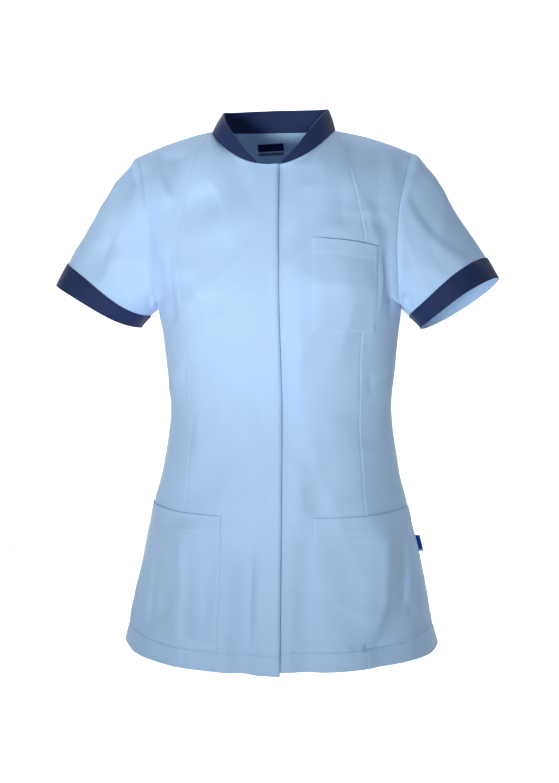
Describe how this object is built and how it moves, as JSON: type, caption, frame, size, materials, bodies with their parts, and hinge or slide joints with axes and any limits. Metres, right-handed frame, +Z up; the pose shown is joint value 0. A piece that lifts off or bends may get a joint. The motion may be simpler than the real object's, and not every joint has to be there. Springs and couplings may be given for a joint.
{
  "type": "medical jacket",
  "caption": "Fitted short-sleeved medical jacket in pale blue poplin with a navy stand collar and cuff bands, hidden placket and patch pockets.",
  "frame": {"origin": "midway between the two points where the shoulder seams meet the neckline, at their height", "axes": "+X towards the wearer's left, -Y towards the front, +Z up along the neck"},
  "size_m": [0.5758, 0.2631, 0.7086],
  "materials": {
    "poplin": "crisp pale blue poplin, plain weave, matt with a faint sheen",
    "navy_trim": "navy poplin, matt",
    "woven_label": "woven satin label, bare",
    "size_strip": "woven grey strip, bare",
    "side_tab": "woven blue tab with a light edge, bare",
    "stud_metal": "nickel-plated"
  },
  "bodies": {
    "root": {"front_right": "poplin", "front_left": "poplin", "side_front_right": "poplin", "side_front_left": "poplin", "back": "poplin", "sleeve_right": "poplin", "sleeve_left": "poplin", "chest_pocket": "poplin", "hip_pocket_right": "poplin", "hip_pocket_left": "poplin", "cuff_right": "navy_trim", "cuff_left": "navy_trim", "collar": "navy_trim", "neck_label": "woven_label", "size_label": "size_strip", "side_label": "side_tab", "press_stud_1": "stud_metal", "press_stud_2": "stud_metal", "press_stud_3": "stud_metal", "press_stud_4": "stud_metal", "press_stud_5": "stud_metal", "press_stud_6": "stud_metal"}
  },
  "joints": []
}
